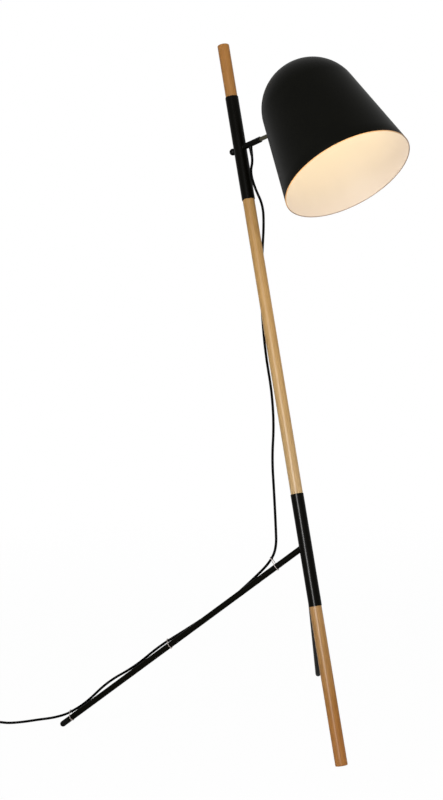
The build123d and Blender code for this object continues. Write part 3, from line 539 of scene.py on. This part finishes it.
# the spare lead: inwards on the floor, up, and outwards on top
def coilPoints(shape):
    low, high = shape["layers"]
    points, perTurn = [], shape["pointsPerTurn"]
    total = shape["bottomTurns"] + shape["risingTurns"] + shape["topTurns"]
    for i in range(int(total * perTurn) + 1):
        turns = i / perTurn
        rise = min(max((turns - shape["bottomTurns"]) / shape["risingTurns"], 0), 1)
        inward = min(turns / shape["bottomTurns"], 1)
        outward = max((turns - total + shape["topTurns"]) / shape["topTurns"], 0)
        radius = shape["coilOuter"] + (shape["coilInner"] - shape["coilOuter"]) * (inward - outward)
        angle = radians(shape["coilStart"]) + 2 * pi * turns
        points.append((
            shape["coilCentre"][0] + radius * cos(angle),
            shape["coilCentre"][1] + radius * sin(angle),
            low + (high - low) * rise,
        ))
    return points


# a round tube on the route's smooth curve, and the points of that curve
def leadTube(name, route, diameter):
    curve = bpy.data.curves.new(name, "CURVE")
    curve.dimensions = "3D"
    curve.resolution_u = 8
    spline = curve.splines.new("NURBS")
    spline.points.add(len(route) - 1)
    for point, corner in zip(spline.points, route):
        point.co = (*corner, 1)
    spline.order_u = 3
    spline.use_endpoint_u = True
    line = bpy.data.objects.new(name + "Line", curve)
    scene.collection.objects.link(line)
    bpy.context.view_layer.update()
    path = [tuple(vertex.co) for vertex in bpy.data.meshes.new_from_object(line).vertices]
    curve.bevel_depth, curve.bevel_resolution, curve.use_fill_caps = diameter / 2, 4, True
    bpy.context.view_layer.update()
    mesh = bpy.data.meshes.new_from_object(line)
    bpy.data.objects.remove(line)
    bm = bmesh.new()
    bm.from_mesh(mesh)
    return bm, path


spareRoute = coilPoints(leadShape) + plugRoute
topTube, topPath = leadTube("leadTop", topRoute, leadShape["diameter"])
mainTube, mainPath = leadTube("leadMain", mainRoute + spareRoute, leadShape["diameter"])
leadTopPiece = finishPiece(topTube, "leadTop", None, ["leadSheath"],
                           nodes=["lead_top"], crease=60)
leadMainPiece = finishPiece(
    mainTube, "leadMain", None, ["leadSheath"], crease=60,
    nodes=["lead_hanging", "lead_leg", "lead_floor", "lead_switch_to_coil", "lead_coil", "lead_coil_to_plug"],
)
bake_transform(leadTopPiece)
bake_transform(leadMainPiece)
print("lead laid")

# heights are along the pole, whose square foot stands on the floor with its lower edge
poleShape = {
    "radius": 0.014,
    "foot": 0.003664,
    "joint": 0.540,
    "top": 1.693664,
    "edge": 0.002,
    "ringEvery": 0.04,
    "steps": 64,
}


def polePiece(name, low, high, roundLow, roundHigh, finish, node):
    r, edge = poleShape["radius"], poleShape["edge"]
    outline = [(0, low)]
    outline += arcPoints(r - edge, low + edge, edge, -90, 0, 5) if roundLow else [(r, low)]
    rings = int((high - low) / poleShape["ringEvery"])
    outline += [(r, low + (high - low) * (i + 0.5) / rings) for i in range(rings)]
    outline += arcPoints(r - edge, high - edge, edge, 0, 90, 5) if roundHigh else [(r, high)]
    outline.append((0, high))
    return turned(name, outline, poleAxis, "stand", "ash_wood", finish, [node], steps=poleShape["steps"])


polePiece("poleLower", poleShape["foot"], poleShape["joint"], True, False, "ashLower", "lower_pole")
polePiece("poleUpper", poleShape["joint"], poleShape["top"], False, True, "ashUpper", "upper_pole")

sleeves = {
    "lower": {"bore": 0.01405, "radius": 0.0150, "base": 0.359, "length": 0.256},
    "upper": {"bore": 0.01456, "radius": 0.0155, "base": 1.313, "length": 0.250},
    "weldBead": 0.0009,
}
bossShape = {"radius": 0.004, "height": 0.002, "bore": 0.003, "weld": 0.0006, "weldHeight": 0.0002}
lowerSleeve, upperSleeve = sleeves["lower"], sleeves["upper"]
ring("sleeveLower", lowerSleeve["bore"], lowerSleeve["radius"], lowerSleeve["base"],
     lowerSleeve["base"] + lowerSleeve["length"], poleAxis, "stand", "black_metal", "blackPaint",
     ["lower_sleeve"])


# the sliding sleeve, with the boss that the clamp screw runs in
def upperSleevePiece(sleeve, boss):
    bore, r, base, top = sleeve["bore"], sleeve["radius"], sleeve["base"], sleeve["base"] + sleeve["length"]
    bm = bmesh.new()
    spunProfile(bm, [(bore, base), (r, base), (r, top), (bore, top)], closed=True)
    bmesh.ops.transform(bm, matrix=poleAxis, verts=bm.verts)
    bossBm = bmesh.new()
    weld = boss["weld"]
    spunProfile(bossBm, [
        (boss["bore"], r - weld), (boss["radius"] + weld, r - weld), (boss["radius"], r + boss["weldHeight"]),
        (boss["radius"], r + boss["height"]), (boss["bore"], r + boss["height"]),
    ], steps=40, closed=True)
    bmesh.ops.transform(bossBm, matrix=clampAxis, verts=bossBm.verts)
    bossMesh = bpy.data.meshes.new("boss")
    bossBm.to_mesh(bossMesh)
    bossBm.free()
    bm.from_mesh(bossMesh)
    return finishPiece(bm, "sleeveUpper", "head", ["blackPaint"],
                       nodes=["upper_sleeve"], bevel=0.0003)


upperSleevePiece(upperSleeve, bossShape)


# a ring round the tube, whose every part is moved along the tube to where both surfaces meet
def weldBead(name, tubeAxis, tubeRadius, sleeveRadius, body):
    turn = tubeAxis.to_3x3()
    along = turn @ Vector((0, 0, 1))
    flatAlong = along - poleDir * along.dot(poleDir)
    bm = bmesh.new()
    bmesh.ops.create_circle(bm, radius=sleeves["weldBead"], segments=8)
    bmesh.ops.rotate(bm, verts=bm.verts, cent=(0, 0, 0), matrix=Matrix.Rotation(pi / 2, 3, "X"))
    bmesh.ops.translate(bm, verts=bm.verts, vec=(tubeRadius, 0, 0))
    bmesh.ops.spin(bm, geom=bm.verts[:] + bm.edges[:], cent=(0, 0, 0), axis=(0, 0, 1), angle=2 * pi,
                   steps=48, use_merge=True)
    for vertex in bm.verts:
        around = atan2(vertex.co.y, vertex.co.x)
        start = tubeAxis.translation + turn @ (Vector((cos(around), sin(around), 0)) * tubeRadius)
        flat = start - poleDir * start.dot(poleDir)
        a, b, c = flatAlong.dot(flatAlong), 2 * flat.dot(flatAlong), flat.dot(flat) - sleeveRadius**2
        vertex.co.z += (-b + sqrt(b * b - 4 * a * c)) / (2 * a)
    return finishPiece(bm, name, body, ["blackPaint"], tubeAxis, crease=80)


# lengths are along the leg, from the pole's axis
legShape = {
    "bore": 0.0058,
    "socketBore": 0.004,
    "socketStart": 0.0135,
    "socketEnd": 0.032,
    "gap": 0.0002,
    "cap": 0.019,
    "spigot": 0.018,
    "leadIn": (0.0003, 0.002),  # at the spigot's end: how much thinner, and how long
    "play": 0.0001,
    "capEdge": (0.0006, 0.0008),
}
armShape = {"radius": 0.007, "bore": 0.0058, "start": 0.0147, "mouth": 0.0675}


def legPieces(legName, legAxis, shape):
    r, bore, play = lampAxes["legRadius"], shape["bore"], shape["play"]
    tubeStart, tubeEnd = shape["socketEnd"] + shape["gap"], legReach - shape["cap"]
    ring(legName + "Socket", shape["socketBore"], r, shape["socketStart"], shape["socketEnd"], legAxis,
         "stand", "black_metal", "legBlack", ["leg_sockets"], bevel=0.0004)
    ring(legName + "Leg", bore, r, tubeStart, tubeEnd, legAxis, "stand", "black_metal", "legBlack",
         [legName + "_leg"], bevel=0.0003)
    spigotR, spigotEnd = bore - play, tubeEnd - shape["spigot"]
    thinner, leadIn = shape["leadIn"]
    edgeWidth, edgeHeight = shape["capEdge"]
    tipOutline = [(0, spigotEnd), (spigotR - thinner, spigotEnd), (spigotR, spigotEnd + leadIn),
                  (spigotR, tubeEnd + play), (r - edgeWidth, tubeEnd + play), (r, tubeEnd + edgeHeight)]
    tipOutline += arcPoints(0, legReach, r, 0, 90, 12)
    turned(legName + "Tip", tipOutline, legAxis, "stand", "black_plastic", "blackPlastic",
           ["leg_tips"], steps=48)
    weldBead(legName + "Weld", legAxis, r, lowerSleeve["radius"], "stand")


for legName, legAxis in legAxes.items():
    legPieces(legName, legAxis, legShape)
weldBead("armWeld", armAxis, armShape["radius"], upperSleeve["radius"], "head")
print("stand made")

ring("armTube", armShape["bore"], armShape["radius"], armShape["start"], armShape["mouth"], armAxis,
     "head", "black_metal", "blackPaint", ["arm_tube"], bevel=0.0004)
# an outline of (radius, depth under the arm's axis), and its grooves
reliefShape = {
    "place": 0.033,  # along the arm
    "collar": [(0, 0.0055), (0.0035, 0.0055), (0.0035, 0.0070), (0.0050, 0.0071), (0.0050, 0.0082),
               (0.0046, 0.0090)],
    "grooves": 5,
    "firstGroove": 0.0100,
    "groovePitch": 0.0034,
    "grooveDepth": 0.0006,
    "radius": 0.0044,
    "taper": 0.00016,  # from one groove to the next
    "endRadius": 0.0036,
    "length": 0.027,
}


def reliefPiece(shape):
    outline = list(shape["collar"])
    for i in range(shape["grooves"]):
        z, r = shape["firstGroove"] + i * shape["groovePitch"], shape["radius"] - i * shape["taper"]
        bottom = r - shape["grooveDepth"]
        outline += [(r, z), (r, z + 0.0016), (bottom, z + 0.0020), (bottom, z + 0.0029)]
    outline += [(shape["endRadius"], shape["length"]), (0, shape["length"])]
    place = axisMatrix(armOrigin + armDir * shape["place"], -poleDir, armDir)
    return turned("leadRelief", outline, place, "head", "black_plastic", "blackPlastic",
                  ["lead_relief"], steps=40, bevel=0.0001)


reliefPiece(reliefShape)
knobShape = {"radius": 0.00825, "centre": 0.0244, "neck": 0.0046, "base": 0.0185}


def knobPiece(shape):
    r, neck, base = shape["radius"], shape["neck"], shape["base"]
    neckAngle = -degrees(atan2(sqrt(r * r - neck * neck), neck))  # where the ball meets its neck
    outline = [(0, base), (neck, base)] + arcPoints(0, shape["centre"], r, neckAngle, 90, 28)
    return turned("ballKnob", outline, clampAxis, "knob", "black_metal", "rubbedBlack",
                  ["clamp_knob"], steps=64)


knobPiece(knobShape)

rodShape = {"radius": 0.005, "bore": 0.0041, "start": 0.044, "end": 0.1365}
ring("armRod", rodShape["bore"], rodShape["radius"], rodShape["start"], rodShape["end"], armAxis,
     "shade_unit", "satin_rod", "satinRod", ["arm_rod"])
shadeShape = {
    "mouth": 0.150,
    "height": 0.304,
    "dome": 0.114,
    "wall": 0.001,
    "bead": 0.0012,
    "beadTop": 0.0022,  # above which the inside is straight
    "wallRings": 8,
    "domeRings": 30,
    "steps": 144,
}


# a straight wall, tangent to a dome; the outside, the rolled edge and the inside are one outline
def shadePiece(shape):
    middle = shape["height"] - shape["dome"]
    flare = atan(shape["mouth"] / middle) - asin(shape["dome"] / hypot(shape["mouth"], middle))
    inner = shape["dome"] - shape["wall"]
    bead, rings = shape["bead"], shape["wallRings"]
    outside = arcPoints(0, middle, shape["dome"], 90, degrees(flare), shape["domeRings"])
    outside += straightPoints(outside[-1], (shape["mouth"], 0.0), rings)[1:]
    edge = arcPoints(shape["mouth"] - bead, 0, bead, 0, -180, 10)[1:]
    insideArc = arcPoints(0, middle, inner, degrees(flare), 90, shape["domeRings"])
    inside = straightPoints((shape["mouth"] - 2 * bead, shape["beadTop"]), insideArc[0], rings)[:-1]
    inside += insideArc
    bm = bmesh.new()
    spunProfile(bm, outside + edge + inside, steps=shape["steps"])
    tangent = middle + shape["dome"] * sin(flare)
    for face in bm.faces:
        place = face.calc_center_median()
        radius = hypot(place.x, place.y)
        wall = shape["mouth"] - place.z * tan(flare) if place.z < tangent else None
        depth = wall - radius if wall else shape["dome"] - hypot(radius, place.z - middle)
        face.material_index = 1 if place.z < 0.0 else 2 if depth > shape["wall"] / 2 else 0
    return finishPiece(bm, "domedShade", "shade_unit",
                       ["shadeBlack", "shadeEdge", "shadeInside"], shadeAxis, ["shade"], crease=50)


shadePiece(shadeShape)
seatShape = {"radius": 0.010, "bore": 0.00505, "inner": 0.1180, "outer": 0.1232}
ring("shadeSeatOuter", seatShape["bore"], seatShape["radius"], seatShape["inner"],
     seatShape["outer"], armAxis, "shade_unit", "black_metal", "blackPaint",
     ["shade_outer_seat"], bevel=0.0006)
print("arm and shade made")

# places are along the arm, from the pole's axis
holderShape = {
    "cap": [(0.0050, 0.1275), (0.0090, 0.1275), (0.0090, 0.1335), (0.0104, 0.1360), (0.0134, 0.1392),
            (0.0166, 0.1426), (0.0190, 0.1462), (0.0200, 0.1490), (0.0200, 0.1530), (0.0050, 0.1530)],
    "radius": 0.020,
    "bore": 0.0143,
    "skirtStart": 0.1531,
    "end": 0.1850,
    "ribs": 36,
    "ribBand": (0.003, 0.012),  # from the skirt's start
    "ribDepth": 0.0005,
}


# the lower half of the lampholder, whose ribs give the fingers a grip
def holderSkirt(shape):
    bm = bmesh.new()
    low, high, r, bore = shape["skirtStart"], shape["end"], shape["radius"], shape["bore"]
    bandLow, bandHigh = [low + height for height in shape["ribBand"]]
    steps = shape["ribs"] * 4  # two for each rib and two for the groove beside it
    spunProfile(bm, [(bore, low), (r, low), (r, bandLow), (r, bandHigh), (r - 0.0008, bandHigh + 0.001),
                     (r - 0.0014, high - 0.001), (r - 0.0024, high), (bore, high)],
                steps=steps, closed=True)
    grooves = []
    for face in bm.faces:
        place = face.calc_center_median()
        step = int((atan2(place.y, place.x) + pi) / (2 * pi) * steps)
        outside = hypot(place.x, place.y) > r - shape["ribDepth"]
        if bandLow < place.z < bandHigh and outside and step % 4 < 2:
            grooves.append(face)
    bmesh.ops.inset_individual(bm, faces=grooves, thickness=0.0001, depth=-shape["ribDepth"])
    return finishPiece(bm, "holderSkirt", "shade_unit", ["blackPlastic"], armAxis,
                       ["lampholder_skirt"])


holderSkirt(holderShape)
turned("holderCap", holderShape["cap"], armAxis, "shade_unit", "black_plastic", "blackPlastic",
       ["lampholder_cap"], closed=True, bevel=0.0003)
bulbShape = {
    "radius": 0.030,
    "neck": 0.186,
    "neckRadius": 0.0145,
    "shoulder": -32,  # degrees, where the globe goes over into the neck
    "shoulderPull": 0.016,
    "neckPull": 0.012,
    "neckRings": 12,
    "contact": [(0, 0.1612), (0.0040, 0.1612), (0.0060, 0.1630), (0.0118, 0.1670)],
    "threads": 5,
    "firstThread": 0.1680,
    "threadPitch": 0.0034,
    "capTop": [(0.0128, 0.1855), (0.0133, 0.1859), (0, 0.1859)],
}


# a globe whose neck is a curve that leaves both of its ends straight
def bulbPiece(shape):
    shoulder = arcPoints(0, lampAxes["bulbReach"], shape["radius"], shape["shoulder"], 90, 30)
    r, z = shoulder[0]
    a = radians(shape["shoulder"])
    corners = (
        (r, z),
        (r + shape["shoulderPull"] * sin(a), z - shape["shoulderPull"] * cos(a)),
        (shape["neckRadius"], shape["neck"] + shape["neckPull"]),
        (shape["neckRadius"], shape["neck"]),
    )
    neck = []
    for i in range(shape["neckRings"]):
        t = i / shape["neckRings"]
        weights = (t**3, 3 * t * t * (1 - t), 3 * t * (1 - t) ** 2, (1 - t) ** 3)
        neck.append(tuple(sum(w * q[k] for w, q in zip(weights, corners)) for k in (0, 1)))
    return turned("bulbGlobe", [(0, shape["neck"])] + neck + shoulder, armAxis, "shade_unit",
                  "opal_glass", "opalGlass", ["bulb_globe"], steps=64, crease=60)


def bulbCapPiece(shape):
    outline = list(shape["contact"])
    for i in range(shape["threads"]):
        z = shape["firstThread"] + i * shape["threadPitch"]
        outline += [(0.0128, z), (0.0133, z + 0.0009), (0.0128, z + 0.0018), (0.0121, z + 0.0026)]
    outline += shape["capTop"]
    return turned("bulbCap", outline, armAxis, "shade_unit", "plated_brass", "platedBrass",
                  ["bulb_cap"], steps=48, crease=50)


bulbPiece(bulbShape)
bulbCapPiece(bulbShape)
print("lampholder and bulb made")

# the nodes that stay as they are get their finishes
nodeFinishes = {
    "pole_dowel_screw": "zincSteel", "sleeve_screws": "blackPaint", "leg_studs": "zincSteel",
    "leg_plugs": "paleNylon", "cord_ties": "clearNylon", "glide_bushes": "blackPlastic",
    "arm_bushes": "paleNylon", "clamp_pad": "paleNylon", "clamp_screw": "zincSteel",
    "rod_clips": "zincSteel", "shade_inner_seat": "blackPlastic", "shade_nut": "zincSteel",
    "lampholder_core": "whiteCeramic", "lampholder_thread": "contactBrass",
    "lampholder_contact": "contactBrass", "rod_wires": "brownCore", "arm_wires": "brownCore",
    "switch_base": "blackPlastic", "switch_cover": "blackPlastic", "switch_rocker": "rubbedBlack",
    "plug_body": "blackPlastic", "plug_pins": "platedBrass",
}
for nodeName, finish in nodeFinishes.items():
    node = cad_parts[nodeName]
    node.data.materials.clear()
    node.data.materials.append(finishes[finish])

studio = {
    "floorRadius": 3.2,
    "floorTone": 0.93,
    "floorWhite": 0.975,  # how much of the floor is plain white to the camera
    "floorFade": (1.5, 3.1),  # over which it fades away
    "world": 0.34,
    "bulb": 0.10,
    "bulbColor": (1.0, 0.80, 0.52),
    "bulbRadius": 0.028,
}


# shows white to the camera, in metal and through glass, and lights everything else
def whiteToCamera(nodes, link, lit, white):
    rays = nodes.new("ShaderNodeLightPath")
    either = addNode(nodes, "ShaderNodeMath", operation="MAXIMUM")
    seen = addNode(nodes, "ShaderNodeMath", operation="MAXIMUM")
    mix = nodes.new("ShaderNodeMixShader")
    link(rays.outputs["Is Camera Ray"], either.inputs[0])
    link(rays.outputs["Is Glossy Ray"], either.inputs[1])
    link(either.outputs[0], seen.inputs[0])
    link(rays.outputs["Is Transmission Ray"], seen.inputs[1])
    link(lit, mix.inputs[1])
    link(white, mix.inputs[2])
    return seen.outputs[0], mix


def makeFloor():
    bm = bmesh.new()
    bmesh.ops.create_circle(bm, cap_ends=True, radius=studio["floorRadius"], segments=96)
    mesh = bpy.data.meshes.new("floor")
    bm.to_mesh(mesh)
    bm.free()
    floor = bpy.data.objects.new("floor", mesh)
    scene.collection.objects.link(floor)
    material, nodes, link, shader = newMaterial("paleFloor")
    white = nodes.new("ShaderNodeEmission")
    seen, mix = whiteToCamera(nodes, link, shader.outputs["BSDF"], white.outputs["Emission"])
    share = addNode(nodes, "ShaderNodeMath", operation="MULTIPLY")
    share.inputs[1].default_value = studio["floorWhite"]
    place = nodes.new("ShaderNodeTexCoord")
    away = addNode(nodes, "ShaderNodeVectorMath", operation="LENGTH")
    fade = addRange(nodes, *studio["floorFade"])
    seeThrough = nodes.new("ShaderNodeBsdfTransparent")
    fadeMix = nodes.new("ShaderNodeMixShader")
    shader.inputs["Base Color"].default_value = [studio["floorTone"]] * 3 + [1]
    shader.inputs["Roughness"].default_value = 0.9
    shader.inputs["Specular IOR Level"].default_value = 0.1
    link(seen, share.inputs[0])
    link(share.outputs[0], mix.inputs["Fac"])
    link(place.outputs["Object"], away.inputs[0])
    link(away.outputs["Value"], fade.inputs["Value"])
    link(fade.outputs["Result"], fadeMix.inputs["Fac"])
    link(mix.outputs["Shader"], fadeMix.inputs[1])
    link(seeThrough.outputs["BSDF"], fadeMix.inputs[2])
    link(fadeMix.outputs["Shader"], nodes["Material Output"].inputs["Surface"])
    mesh.materials.append(material)


def makeWorld():
    world = bpy.data.worlds.new("studio")
    scene.world = world
    world.use_nodes = True
    nodes, link = world.node_tree.nodes, world.node_tree.links.new
    light = nodes["Background"]
    light.inputs["Color"].default_value = (1, 1, 1, 1)
    light.inputs["Strength"].default_value = studio["world"]
    white = nodes.new("ShaderNodeBackground")
    white.inputs["Color"].default_value = (1, 1, 1, 1)
    seen, mix = whiteToCamera(nodes, link, light.outputs["Background"], white.outputs["Background"])
    link(seen, mix.inputs["Fac"])
    link(mix.outputs["Shader"], nodes["World Output"].inputs["Surface"])


softLamps = {
    "stripLamp": {"place": (1.76, -2.34, 1.30), "aim": (-0.15, 0, 0.6), "size": (0.2, 1.2), "power": 400,
                  "diffuse": False, "glossy": True},
    "sideLamp": {"place": (3.35, -0.6, 2.5), "aim": (-0.2, 0, 0.9), "size": (1.2, 1.2), "power": 12,
                 "diffuse": True, "glossy": True},
    "frontLamp": {"place": (2.1, -2.2, 2.8), "aim": (-0.25, 0, 0.8), "size": (1.4, 1.4), "power": 80,
                  "diffuse": True, "glossy": False},
}


def softLamp(name, shape):
    place, aim = Vector(shape["place"]), Vector(shape["aim"])
    data = bpy.data.lights.new(name, "AREA")
    data.shape, data.energy = "RECTANGLE", shape["power"]
    data.size, data.size_y = shape["size"]
    lamp = bpy.data.objects.new(name, data)
    lamp.location = place
    lamp.rotation_euler = (aim - place).to_track_quat("-Z", "Y").to_euler()
    lamp.visible_diffuse, lamp.visible_glossy = shape["diffuse"], shape["glossy"]
    scene.collection.objects.link(lamp)


# the light of the bulb, which its own glass doesn't shade
def bulbLamp():
    data = bpy.data.lights.new("bulbLight", "POINT")
    data.energy, data.color, data.shadow_soft_size = studio["bulb"], studio["bulbColor"], studio["bulbRadius"]
    lamp = bpy.data.objects.new("bulbLight", data)
    lamp.location = bulbMiddle
    scene.collection.objects.link(lamp)
    bpy.data.objects["bulbGlobe"].visible_shadow = False


makeFloor()
makeWorld()
for lampName, lampShape in softLamps.items():
    softLamp(lampName, lampShape)
bulbLamp()
print("studio made")
